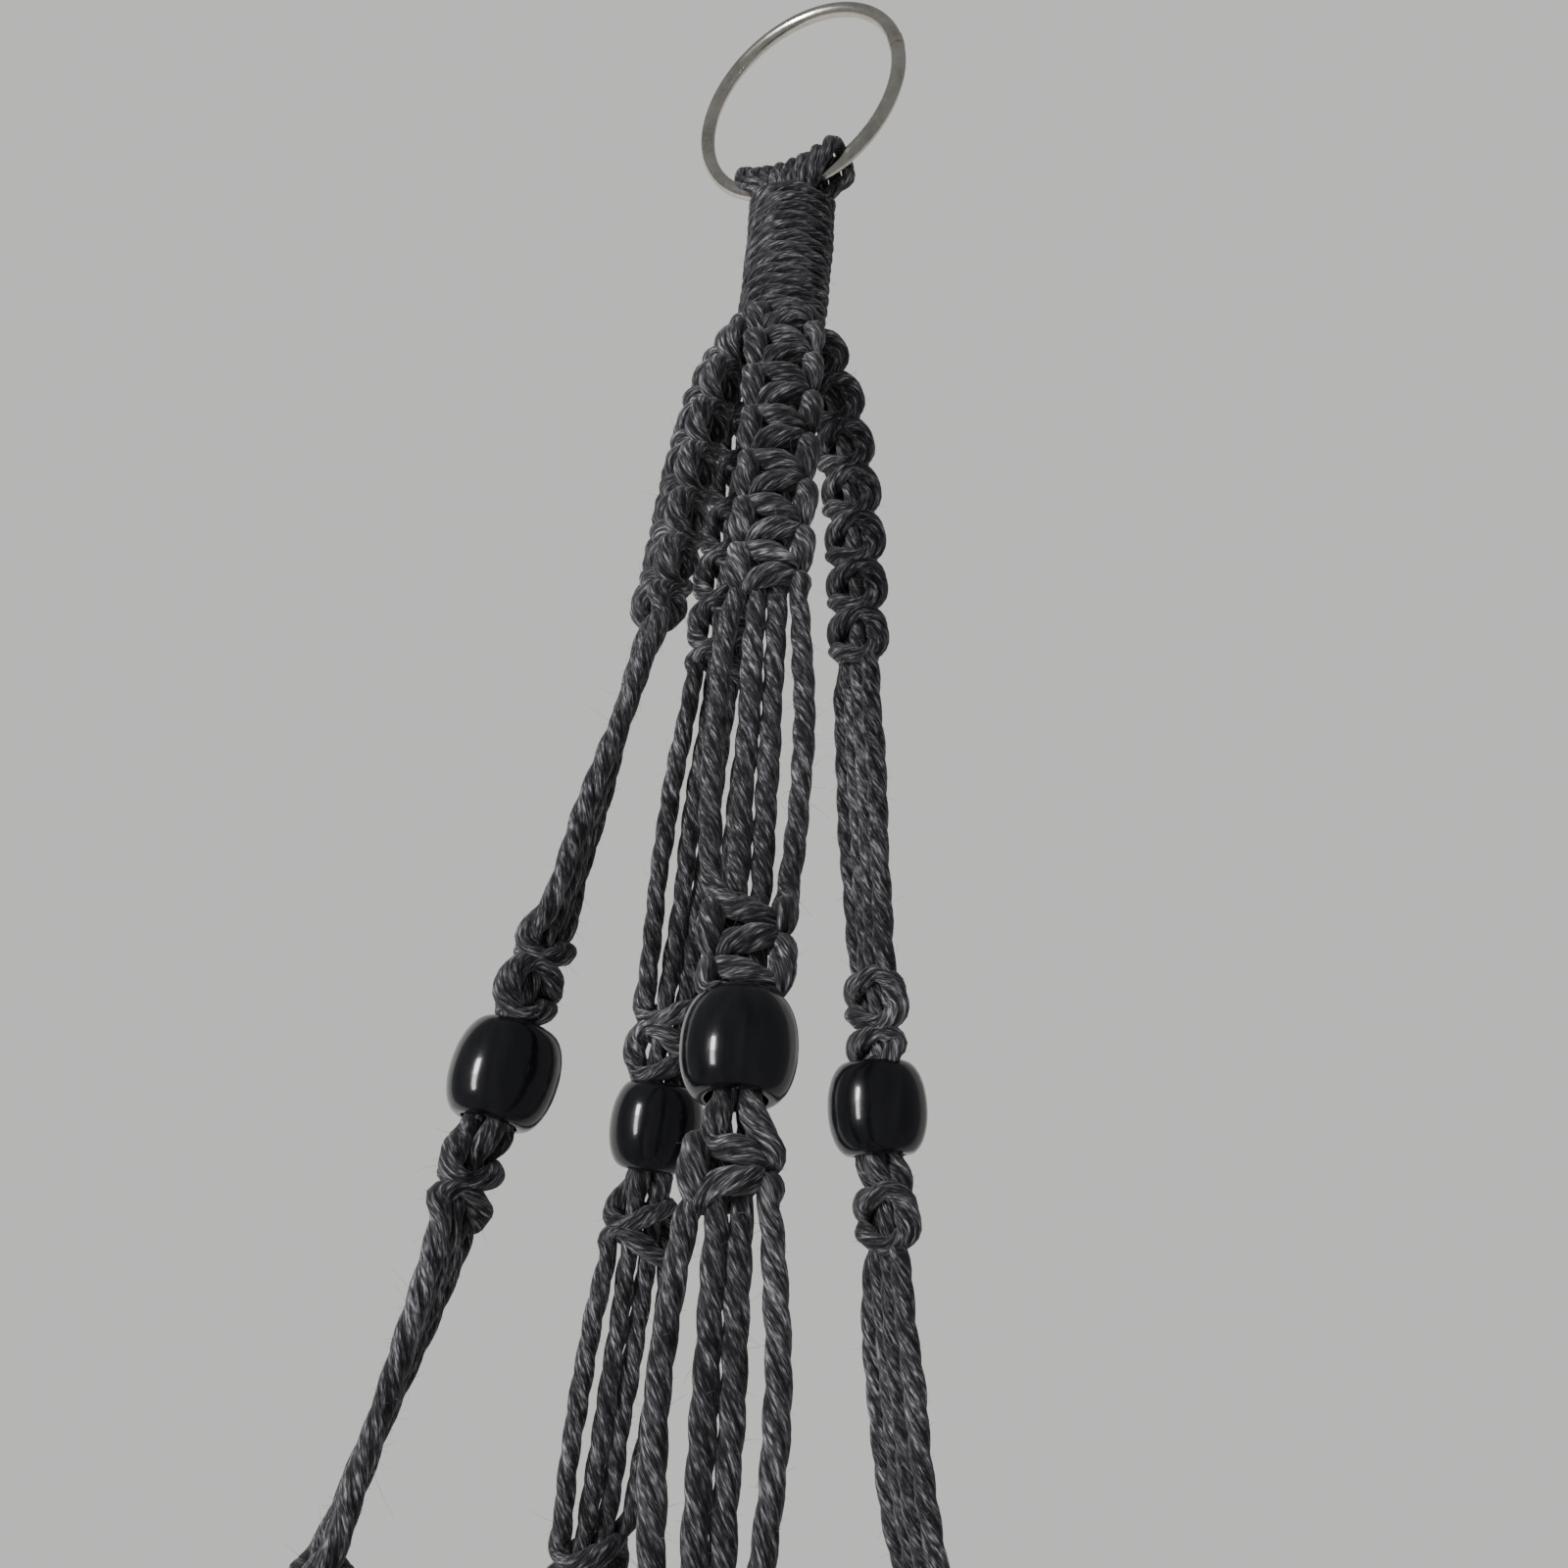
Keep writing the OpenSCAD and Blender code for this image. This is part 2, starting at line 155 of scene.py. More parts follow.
cotton = Finish(
    "charcoal_cotton", Roughness=0.92, Specular_IOR_Level=0.25, Sheen_Weight=0.12, Sheen_Roughness=0.5
)
# The cord map counts plies across a cord and metres along it.
weave = cotton.add("UVMap", {"uv_map": "cord"}, output="UV")
ply = cotton.add("SeparateXYZ", {}, {"Vector": weave}, "X")
along = cotton.add("SeparateXYZ", {}, {"Vector": weave}, "Y")


def hairs(across, length, seed, detail):
    """Streaks that run along a ply, so many across it and so long."""
    at = cotton.add("CombineXYZ", {}, {"X": ply * across, "Y": along * (1 / length), "Z": seed})
    settings = {"Vector": at, "Scale": 1.0, "Detail": detail, "Roughness": 0.55}
    return cotton.add("TexNoise", {}, settings, "Fac")


across_ply = cotton.maths("ABSOLUTE", cotton.maths("FRACT", ply) - 0.5) * 2.0
coarse = hairs(7.0, 2.6 * MM, 3.7, 2.0)
fine = hairs(17.0, 1.5 * MM, 11.3, 1.0)
# Painted shade: the colour darkens towards the edges of each ply, standing in for the shade in the grooves
# between plies.
painted_groove_shade = across_ply**6
body_place = cotton.add("TexCoord", output="Object")
faded = cotton.add("TexNoise", {}, {"Vector": body_place, "Scale": 55.0, "Detail": 2.0}, "Fac")
# The cord's colour mixes fibre streaks and random tone with the painted shade in the grooves.
fibre_tone_and_groove_shade = coarse * 0.55 + fine * 0.45 + (faded - 0.5) * 0.2 - painted_groove_shade * 0.16
cotton.feed(
    "Base Color",
    cotton.add(
        "ValToRGB",
        {
            "stops": [
                (0.38, (0.005, 0.005, 0.006)),
                (0.48, (0.026, 0.025, 0.029)),
                (0.57, (0.088, 0.086, 0.094)),
                (0.67, (0.30, 0.29, 0.31)),
            ]
        },
        {"Fac": fibre_tone_and_groove_shade},
    ),
)
relief = {"Height": coarse * 0.6 + fine * 0.4, "Strength": 1.0, "Distance": 0.5 * MM}
cotton.feed("Normal", cotton.add("Bump", {}, relief))


def unit(v):
    v = np.asarray(v, float)
    return v / np.linalg.norm(v)


def smooth_route(points, step):
    """Even steps along a Catmull-Rom curve through the points, and each step's place in the list."""
    p = np.asarray(points, float)
    p = np.vstack([2 * p[0] - p[1], p, 2 * p[-1] - p[-2]])
    fine_parts, places = [], []
    for i in range(1, len(p) - 2):
        gap = np.linalg.norm(p[i + 1, :3] - p[i, :3])
        t = np.linspace(0, 1, max(3, int(gap / step * 3)), endpoint=False)[:, None]
        a, b, c, d = p[i - 1], p[i], p[i + 1], p[i + 2]
        bend, turn = 2 * a - 5 * b + 4 * c - d, 3 * b - a - 3 * c + d
        fine_parts.append(0.5 * (2 * b + (c - a) * t + bend * t**2 + turn * t**3))
        places.append(i - 1 + t[:, 0])
    dense = np.vstack([*fine_parts, p[-2:-1]])
    place = np.concatenate([*places, [len(points) - 1]])
    far = np.concatenate([[0], np.cumsum(np.linalg.norm(np.diff(dense[:, :3], axis=0), axis=1))])
    at = np.linspace(0, far[-1], max(3, round(far[-1] / step) + 1))
    even = np.stack([np.interp(at, far, dense[:, k]) for k in range(dense.shape[1])], axis=1)
    return even, np.interp(at, far, place), at


def carried_frames(line):
    """Two directions square to the line at each step, carried along it without twist."""
    ahead = np.gradient(line, axis=0)
    ahead /= np.linalg.norm(ahead, axis=1)[:, None]
    side = unit(np.cross(ahead[0], [0.31, 0.92, 0.2]))
    sides = []
    for t in ahead:
        side = side - t * (side @ t)
        side = side / np.linalg.norm(side)
        sides.append(side)
    sides = np.array(sides)
    return ahead, sides, np.cross(ahead, sides)


# A cord's outline, in cord radii: three round plies laid together.
PLY_AT, PLY_R = 0.34, 0.68
turn_at = np.arange(ROUND) * 2 * math.pi / ROUND
from_ply = (turn_at + math.pi / PLIES) % (2 * math.pi / PLIES) - math.pi / PLIES
outline = PLY_AT * np.cos(from_ply) + np.sqrt(PLY_R**2 - (PLY_AT * np.sin(from_ply)) ** 2)

# What has been laid so far: each piece's tubes, and where hairs can grow on it.
tubes = {}
fluff = {}
cord_numbers = itertools.count(1)
rng = np.random.default_rng(41)


def lay_cord(route):
    """Sweeps one cord along a route of (piece, points) stretches and cuts it at their ends. A point is
    x, y, z and, where the cord is squeezed or plumped, its share of the full thickness. Returns the
    middle line of each piece's tubes."""
    number = next(cord_numbers)
    points, owner = [], []
    for piece, stretch in route:
        for q in stretch:
            points.append([*q, 1.0] if len(q) == 3 else list(q))
            owner.append(piece)
    even, place, far = smooth_route(points, RING_STEP)
    line, girth = even[:, :3], even[:, 3]
    ahead, side, up = carried_frames(line)
    start = rng.uniform(0, 2 * math.pi)
    phase = start - 2 * math.pi * far / LAY_LENGTH
    uneven = 1 + 0.035 * np.sin(far / (7.3 * MM) + start) + 0.025 * np.sin(far / (3.1 * MM) + 2 * start)
    angle = turn_at[None, :] + phase[:, None]
    reach = (CORD_R * girth * uneven)[:, None] * outline[None, :]
    outward = np.cos(angle)[..., None] * side[:, None] + np.sin(angle)[..., None] * up[:, None]
    rings = line[:, None] + reach[..., None] * outward
    owners = [owner[min(len(owner) - 1, int(x + 0.5))] for x in place]
    first = 0
    spans = {}
    for i in range(1, len(owners) + 1):
        if i == len(owners) or owners[i] != owners[first]:
            part = slice(first, min(i, len(owners) - 1) + 1)
            tubes.setdefault(owners[first], []).append((rings[part], far[part], number))
            spans.setdefault(owners[first], []).append(line[part])
            first = i
    for i in range(len(owners) - 1):
        fluff.setdefault(owners[i], []).append((rings[i], outward[i], ahead[i]))
    return spans


def mesh_piece(name, points, faces, uvs, material):
    """A smooth mesh object from its points, faces and, unless None, a UV pair for each face's corners."""
    mesh = bpy.data.meshes.new(name)
    mesh.from_pydata(points, [], faces)
    if uvs is not None:
        mesh.uv_layers.new(name="cord").data.foreach_set("uv", np.asarray(uvs, np.float32).ravel())
    mesh.materials.append(material)
    mesh.polygons.foreach_set("use_smooth", np.ones(len(faces), bool))
    mesh.update()
    piece = bpy.data.objects.new(name, mesh)
    bpy.context.scene.collection.objects.link(piece)
    return piece


def cord_piece(name):
    """One piece from all the stretches of cord that were laid for it, each a closed tube."""
    points, faces, uvs = [], [], []
    for rings, far, number in tubes[name]:
        base, last = len(points), len(rings) - 1
        points.extend(rings.reshape(-1, 3).tolist())
        first_ply = PLIES * number
        for i in range(last):
            low, high = base + i * ROUND, base + (i + 1) * ROUND
            for j in range(ROUND):
                k = (j + 1) % ROUND
                faces.append((low + j, low + k, high + k, high + j))
                u0, u1 = (first_ply + (j + d) * PLIES / ROUND + 0.5 for d in (0, 1))
                uvs.extend([(u0, far[i]), (u1, far[i]), (u1, far[i + 1]), (u0, far[i + 1])])
        for end, order in ((0, range(ROUND - 1, -1, -1)), (last, range(ROUND))):
            middle = len(points)
            points.append(rings[end].mean(0).tolist())
            for j in range(ROUND):
                a, b = order[j], order[(j + 1) % ROUND]
                faces.append((base + end * ROUND + a, base + end * ROUND + b, middle))
                uvs.extend([(first_ply + k * PLIES / ROUND, far[end]) for k in (a, b, 0)])
    piece = mesh_piece(name, points, faces, uvs, cotton.material)
    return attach(piece, "hanger")


# --- Loops over the ring ----------------------------------------------------
# Eight long cords are folded in half over the ring's lowest wire, side by side,
# and their sixteen legs close in to a round bundle just below it.
RING_IN_R = 25.0 * MM
WIRE_R = 1.75 * MM
RING_TURN = math.radians(-30)
LOOPS = 8
LOOP_PITCH = 3.4 * MM
LOOP_ROOM = 1.9 * MM
RING_GAP = 3.3 * MM
LEG_STEP = math.radians(18)
LEG_FOOT_R = 6.5 * MM
TOP_TURNS = 12
TURN_PITCH = 3.2 * MM
LEG_GIRTH = 0.86
LEG_R = 1.65 * MM
LOOP_HANG = 0.4 * MM

ring_r = RING_IN_R + WIRE_R
wrap_top = -RING_IN_R - ring_r - RING_GAP
arms_top = wrap_top - TOP_TURNS * TURN_PITCH
loop_mid_r = WIRE_R + LOOP_ROOM + LEG_R


def by_ring(x, y, z):
    """A point of a loop or leg from its place along the wire, across it and its height."""
    c, s = math.cos(RING_TURN), math.sin(RING_TURN)
    return (x * c - y * s, x * s + y * c, z, LEG_GIRTH)


for i in range(LOOPS):
    x = (i - (LOOPS - 1) / 2) * LOOP_PITCH
    top = -RING_IN_R - math.sqrt(ring_r**2 - x**2) - LOOP_HANG
    foot_turn = math.pi / 2 + ((LOOPS - 1) / 2 - i) * LEG_STEP
    legs = []
    for side in (-1, 1):
        foot_x, foot_y = LEG_FOOT_R * math.cos(foot_turn), side * LEG_FOOT_R * math.sin(foot_turn)
        leg = [by_ring(foot_x, foot_y, z) for z in (arms_top + 9 * MM, wrap_top - 8 * MM, wrap_top - 2 * MM)]
        leg.append(by_ring((foot_x + x) / 2, (foot_y + side * loop_mid_r) / 2, (wrap_top + top) / 2))
        legs.append(leg)
    arc = [
        by_ring(x, -loop_mid_r * math.cos(a), top + loop_mid_r * math.sin(a))
        for a in np.linspace(0.05, math.pi - 0.05, 9)
    ]
    down, up_again = legs[0], legs[1][::-1]
    lay_cord([("gathered_legs_cord", down), ("ring_loops_cord", arc), ("gathered_legs_cord", up_again)])

for name in ("ring_loops", "gathered_legs"):
    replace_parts(cord_piece(f"{name}_cord"), name)

# --- Gathering wraps --------------------------------------------------------
# A spare length of the same cord is wound tightly round the bundle, top to
# bottom, with its two ends pulled up and down inside the turns.
WRAP_R = 10.4 * MM
WRAP_SQUEEZE = 0.88
WRAP_START = -0.2
TURN_STEPS = 18
TURN_LEAN = 0.27 * MM
TURN_WOBBLE = 0.18 * MM


def wind(node, radius, z_top, turns):
    """A wrap: turns of cord from the top down, starting and ending inside the bundle."""
    mid = radius - WRAP_SQUEEZE * CORD_R
    points = [(0.45 * mid, -0.3 * mid, z_top - 5 * MM, 0.8), (0.75 * mid, -0.35 * mid, z_top - 3 * MM, 0.85)]
    steps = turns * TURN_STEPS
    for k in range(steps + 1):
        a = 2 * math.pi * k / TURN_STEPS + WRAP_START
        lean = TURN_LEAN * math.sin(a + 0.6 * (k // TURN_STEPS) + 0.4)
        r = mid + TURN_WOBBLE * math.sin(0.37 * k)
        fall = TURN_PITCH * (0.5 + (k / steps) * (turns - 1))
        points.append((r * math.cos(a), r * math.sin(a), z_top - fall + lean, WRAP_SQUEEZE))
    z_end = z_top - (turns - 0.5) * TURN_PITCH
    for r, turned, rise, girth in ((0.8, 0.4, 1 * MM, 0.85), (0.5, 0.7, 5 * MM, 0.8)):
        points.append((r * mid * math.cos(a + turned), r * mid * math.sin(a + turned), z_end + rise, girth))
    lay_cord([(f"{node}_cord", points)])
    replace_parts(cord_piece(f"{node}_cord"), node)


wind("top_wrap", WRAP_R, wrap_top, TOP_TURNS)

# --- Square knots and spans -------------------------------------------------
# Four cords make an arm. The outer two are tied round the inner two, one always
# in front and one always behind, which hooks them at the sides. Between the
# rows of knots the four cords hang side by side.
ARMS = ["front", "right", "back", "left"]
ARM_TURN = [math.radians(a) for a in (-84, 25, 112, 201)]
HALF_L = 5.8 * MM
LANES = [x * MM for x in (-6.2, -2.05, 2.05, 6.2)]
HEAD_HALVES, BEAD_HALVES, FOOT_HALVES = 14, 3, 8
BEAD_L = 18.5 * MM
BEAD_PLAY = 0.4 * MM
ROW_START = 5.6 * MM
ROW_LEAN = math.radians(34)
ROW_TUCK = 1.2 * MM
ROW_REACH = [r * MM for r in (21.5, 23.5, 21.5, 22.5)]
BEAD_REACH = [r * MM for r in (46, 37, 44, 47)]
FOOT_REACH = [r * MM for r in (58, 48, 56, 60)]
SPLIT_REACH = [r * MM for r in (67, 62, 66, 68)]
UPPER_L = [l * MM for l in (69.5, 68.5, 72.5, 72.5)]
LOWER_L = [l * MM for l in (58.5, 59.5, 55.5, 55.5)]
# How far an arm's free cords are turned about each other at its bead, how far the outer two
# bow out from the inner two, and how plump they are where nothing pulls on them.
BEAD_TURN = [math.radians(a) for a in (0, 6, 4, 28)]
UPPER_BOW = [w * MM for w in (2.2, 1.4, 1.4, 1.2)]
LOWER_BOW = [w * MM for w in (2.6, 2.0, 1.6, 1.2)]
FREE_GIRTH = 1.08

row_l = HEAD_HALVES * HALF_L
knots_and_bead_l = 2 * BEAD_HALVES * HALF_L + BEAD_L + 2 * BEAD_PLAY


def upright(turn, reach, z):
    return np.array([reach * math.cos(turn), reach * math.sin(turn), z])


def drop(length, start, end):
    """How far down a straight length comes while its reach from the middle changes."""
    return math.sqrt(length**2 - (end - start) ** 2)


class Knees:
    """Where an arm bends: the ends of its rows, spans and knots, and the way it runs between them."""

    def __init__(self, i):
        turn = self.turn = ARM_TURN[i]
        self.head = upright(turn, ROW_START, arms_top)
        z = arms_top - drop(row_l, ROW_START, ROW_REACH[i]) + ROW_TUCK
        self.row_end = upright(turn, ROW_REACH[i], z)
        z -= drop(UPPER_L[i] + knots_and_bead_l, ROW_REACH[i], BEAD_REACH[i])
        self.bead_end = upright(turn, BEAD_REACH[i], z)
        z -= drop(LOWER_L[i], BEAD_REACH[i], FOOT_REACH[i])
        self.foot_start = upright(turn, FOOT_REACH[i], z)
        z -= drop(FOOT_HALVES * HALF_L, FOOT_REACH[i], SPLIT_REACH[i])
        self.foot_end = upright(turn, SPLIT_REACH[i], z)
        self.head_dir = upright(turn, math.sin(ROW_LEAN), -math.cos(ROW_LEAN))
        self.bead_dir = unit(self.bead_end - self.row_end)
        self.foot_dir = unit(self.foot_end - self.foot_start)
        self.across = upright(turn + math.pi / 2, 1, 0)


def cubic(p0, d0, h0, p1, d1, h1, count):
    """Points of a curve from p0 heading d0 to p1 heading d1."""
    u = np.linspace(0, 1, count)[:, None]
    a, b = p0 + d0 * h0, p1 - d1 * h1
    return (1 - u) ** 3 * p0 + 3 * (1 - u) ** 2 * u * a + 3 * (1 - u) * u**2 * b + u**3 * p1


class Run:
    """A stretch of arm or net that cords are laid along: maps across, out of its face and along to the
    frame. Pinch narrows it at a point, and turned is the angle it has turned by so far along."""

    def __init__(self, line, across, pinch=None, turned=None):
        self.line, self.across, self.pinch, self.turned = np.asarray(line), across, pinch, turned
        self.far = np.concatenate([[0], np.cumsum(np.linalg.norm(np.diff(self.line, axis=0), axis=1))])
        self.ahead = np.gradient(self.line, axis=0)

    def at(self, x, y, s):
        inside = min(max(s, 0), self.far[-1])
        p = np.array([np.interp(inside, self.far, self.line[:, k]) for k in range(3)])
        t = unit([np.interp(inside, self.far, self.ahead[:, k]) for k in range(3)])
        p = p + t * (s - inside)
        out = np.cross(t, self.across)
        squeeze = self.pinch(p) if self.pinch else 1
        a = self.turned(s) if self.turned else 0
        sideways = self.across * math.cos(a) + out * math.sin(a)
        return p + sideways * x * squeeze + np.cross(t, sideways) * y


def run_straight(p, q, across, turned=None):
    return Run(np.linspace(p, q, 12), across, turned=turned)


def jitter(size):
    return rng.uniform(-size, size)


routes = {}


def stretch(cord, piece, points):
    """Adds the next stretch to a cord's route."""
    routes.setdefault(cord, []).append((piece, [tuple(p) for p in points]))


# The way of each tying cord through one half knot: across towards the side it is pulled to and
# out of the face in mm, along as a share of the half knot, and its girth.
IN_FRONT = ((-3.4, 2.5, 0.33, 1.1), (0, 3.5, 0.5, 1.26), (3.4, 2.5, 0.67, 1.1))
BEHIND = ((5.0, -0.6, 0.9, 0.95), (2.4, -3.1, 0.72, 1.0), (0, -3.5, 0.5, 1.2))
BEHIND += ((-2.4, -3.1, 0.28, 1.0), (-5.0, -0.6, 0.1, 0.95))


def tie_row(piece, run, halves, lanes, start=0.0):
    """Lays four cords through a row of half knots, from start along the run. Returns their lanes after it."""
    front, behind = lanes[0], lanes[3]
    side = 1
    over, under = [], []
    for k in range(halves):
        s = start + k * HALF_L
        slip = jitter(0.25 * MM) + (0.25 if k % 2 == 0 else -0.25) * MM
        wide = jitter(0.25 * MM)
        wobble = jitter(0.3 * MM)

        def at(x, y, f, girth, shift=0.0):
            return (*run.at(side * x, y * MM, s + f * HALF_L + shift), girth)

        if k:
            over.append(at(-5.2 * MM, -0.6, 0, 0.85))
        over.extend(at(x * MM or side * wobble, y, f, girth, slip) for x, y, f, girth in IN_FRONT)
        hook = 6.2 * MM + wide
        under.append(at(hook, 2.1, 0.5, 1.25))
        under.extend(at(x * MM, y, f, girth, 0 if x else -slip) for x, y, f, girth in BEHIND)
        under.append(at(-hook, 2.1, 0.5, 1.25))
        if k < halves - 1:
            under.append(at(-hook - 0.2 * MM, 2.5, 1, 1.32))
        side = -side
    end = start + (halves - 0.05) * HALF_L
    over.append((*run.at(-side * 5.6 * MM, 0.4 * MM, end), 0.95))
    under.append((*run.at(side * 6.2 * MM, 1.2 * MM, end), 1.0))
    stretch(front, piece, over)
    stretch(behind, piece, under)
    for lane in (1, 2):
        along_core = start + np.linspace(0.04, 0.96, max(3, halves // 2 + 1)) * halves * HALF_L
        stretch(lanes[lane], piece, [(*run.at(LANES[lane], 0, s), 0.97) for s in along_core])
    left, right = (front, behind) if side > 0 else (behind, front)
    return [left, lanes[1], lanes[2], right]


def hang_free(piece, run, lanes, length, bow, fullness, stray, places):
    """Lays four cords side by side down a free span, at the places given as shares of its length."""
    for k, cord in enumerate(lanes):
        points = []
        for f in places:
            x = LANES[k] + bow * (-1, 0, 0, 1)[k] * math.sin(math.pi * f) ** fullness
            points.append((*run.at(x + jitter(stray), jitter(0.3 * MM), length * f), FREE_GIRTH))
        stretch(cord, piece, points)


def pinch_under_wrap(p):
    """The cords are squeezed together where they leave the wrap."""
    return min(1.0, max(0.7, (np.hypot(p[0], p[1]) + 4 * MM) / (13 * MM)))


arms = [Knees(i) for i in range(4)]
arm_lanes = []
for i, (name, arm) in enumerate(zip(ARMS, arms)):
    lanes = [(i, k) for k in range(4)]
    for cord, fan in zip(lanes, (-33, -11, 11, 33)):
        a = arm.turn + math.radians(fan)
        in_wrap = [(6.0 * MM, arms_top + 9 * MM), (6.6 * MM, arms_top + 3 * MM)]
        stretch(cord, f"long_row_{name}_cord", [(*upright(a, reach, z), 0.85) for reach, z in in_wrap])
    long_line = cubic(arm.head, arm.head_dir, row_l / 3, arm.row_end, arm.bead_dir, row_l / 3, 60)
    long_run = Run(long_line, arm.across, pinch_under_wrap)
    lanes = tie_row(f"long_row_{name}_cord", long_run, HEAD_HALVES, lanes)

    upper_l, lower_l, full_turn = UPPER_L[i], LOWER_L[i], BEAD_TURN[i]
    bead_run = run_straight(
        arm.row_end,
        arm.bead_end,
        arm.across,
        turned=lambda s, turn=full_turn, length=upper_l: turn * min(1, max(0, s / length)),
    )
    hang_free(
        f"upper_strands_{name}_cord",
        bead_run,
        lanes,
        upper_l,
        bow=UPPER_BOW[i],
        fullness=0.7,
        stray=0.25 * MM,
        places=(0.06, 0.2, 0.35, 0.5, 0.65, 0.8, 0.94),
    )
    lanes = tie_row(f"upper_knots_{name}_cord", bead_run, BEAD_HALVES, lanes, start=upper_l)

    # In the bead the four cords lie two by two, and swell where they leave it.
    hole_at = upper_l + BEAD_HALVES * HALF_L
    hole_l = BEAD_L + 2 * BEAD_PLAY
    knot_at = hole_at + hole_l
    for cord, (x, y) in zip(lanes, ((-1, 1), (-1, -1), (1, -1), (1, 1))):
        inside = [bead_run.at(x * 1.95 * MM, y * 1.95 * MM, hole_at + f * hole_l) for f in (0.1, 0.5, 0.9)]
        stretch(cord, f"upper_strands_{name}_cord", [(*p, 0.98) for p in inside])
        below = [(*bead_run.at(x * 2.5 * MM, y * 2.2 * MM, knot_at + 1.4 * MM), 1.14)]
        if y > 0:
            below.append((*bead_run.at(x * 3.2 * MM, 2.7 * MM, knot_at + 4.0 * MM), 1.25))
        stretch(cord, f"lower_knots_{name}_cord", below)
    lanes = tie_row(f"lower_knots_{name}_cord", bead_run, BEAD_HALVES - 1, lanes, start=knot_at + HALF_L)

    lower_run = Run(
        cubic(arm.bead_end, arm.bead_dir, lower_l / 3, arm.foot_start, arm.foot_dir, lower_l / 3, 20),
        arm.across,
        turned=lambda s, turn=full_turn, length=lower_l: turn * (1 - min(1, max(0, s / length))),
    )
    hang_free(
        f"lower_strands_{name}_cord",
        lower_run,
        lanes,
        lower_l,
        bow=LOWER_BOW[i],
        fullness=0.6,
        stray=0.3 * MM,
        places=(0.06, 0.22, 0.4, 0.6, 0.78, 0.94),
    )
    short_run = run_straight(arm.foot_start, arm.foot_end, arm.across)
    arm_lanes.append(tie_row(f"short_row_{name}_cord", short_run, FOOT_HALVES, lanes))

# --- Net for the pot --------------------------------------------------------
# Each arm's cords part, two each way, and are tied to its neighbours' by knots
# out at the pot's widest part and again in under it, then meet under the pot.
GAPS = ["front_right", "back_right", "back_left", "front_left"]
NET_HALVES = 3
NET_DROP, CROSS_DROP = 80 * MM, 55 * MM
NET_REACH, CROSS_REACH = 74 * MM, 60 * MM
NET_LEAN, CROSS_LEAN = math.radians(-7), math.radians(-14)

net_knot_l = NET_HALVES * HALF_L
net_z = min(arm.foot_end[2] for arm in arms) - NET_DROP
cross_z = net_z - net_knot_l - CROSS_DROP


class NetKnot:
    """A knot of the net, tied at a turn and reach from the middle and leaning in by an angle."""

    def __init__(self, turn, reach, z, lean):
        self.turn, self.start = turn, upright(turn, reach, z)
        self.ahead = upright(turn, math.sin(lean), -math.cos(lean))
        self.end = self.start + self.ahead * net_knot_l
        self.across = upright(turn + math.pi / 2, 1, 0)
        self.lanes = [None] * 4

    def tie(self, piece):
        return tie_row(piece, run_straight(self.start, self.end, self.across), NET_HALVES, self.lanes)


def part_and_join(piece, start, ahead, across, lanes, knots, fall):
    """Parts four cords from the end of one knot into the lanes of the two knots below it."""
    for k, cord in enumerate(lanes):
        knot, lane = (knots[0], k + 2) if k < 2 else (knots[1], k - 2)
        lead = 0.06 * fall * (-1 if k in (0, 3) else 1)
        line = cubic(
            start + across * LANES[k],
            ahead,
            0.36 * fall + lead,
            knot.start + knot.across * LANES[lane],
            knot.ahead,
            0.36 * fall - lead,
            11,
        )
        stretch(cord, piece, line[1:-1])
        knot.lanes[lane] = cord


full = 2 * math.pi
gap_turn = [(ARM_TURN[i] + (ARM_TURN[i + 1] if i < 3 else ARM_TURN[0] + full)) / 2 for i in range(4)]
cross_turn = [(gap_turn[i - 1] - (full if i == 0 else 0) + gap_turn[i]) / 2 for i in range(4)]
net_knots = [NetKnot(turn, NET_REACH, net_z, NET_LEAN) for turn in gap_turn]
cross_knots = [NetKnot(turn, CROSS_REACH, cross_z, CROSS_LEAN) for turn in cross_turn]

for i, arm in enumerate(arms):
    below = (net_knots[i - 1], net_knots[i])
    piece = f"net_strands_{ARMS[i]}_cord"
    part_and_join(piece, arm.foot_end, arm.foot_dir, arm.across, arm_lanes[i], below, NET_DROP)
for i, knot in enumerate(net_knots):
    lanes = knot.tie(f"net_knot_{GAPS[i]}_cord")
    below = (cross_knots[i], cross_knots[(i + 1) % 4])
    piece = f"cross_strands_{GAPS[i]}_cord"
    part_and_join(piece, knot.end, knot.ahead, knot.across, lanes, below, CROSS_DROP)

# --- Bottom bundle and tassel -----------------------------------------------
# All sixteen cords meet in a bundle, are wrapped as at the top, and hang below
# the wrap as a tassel with plain cut ends.
BASE_DROP = 30 * MM
BASE_WRAP_R = 11.2 * MM
BASE_TURNS = 9
BUNDLE_PITCH = 2.05 * MM
BUNDLE_TURN = math.radians(-78)
TASSEL_L = 190 * MM
TRIM = [t * MM for t in (0, 7, 3, 10, 5, 12, 2, 8)]
# How a strand falls: the share of its length it has come down, and its spread from the middle.
SPREAD = ((0, 1), (0.1, 1.03), (0.3, 1.16), (0.5, 1.3), (0.7, 1.38), (0.85, 1.43), (1, 1.46))
# Where the four cords of a knot come into the bundle, and how far each keeps its way at its ends.
FAN = [math.radians(a) for a in (-30, 0, 0, 30)]
LEAVE = [h * MM for h in (22, 26, 17, 22)]
ENTER = [h * MM for h in (13, 11, 24, 13)]

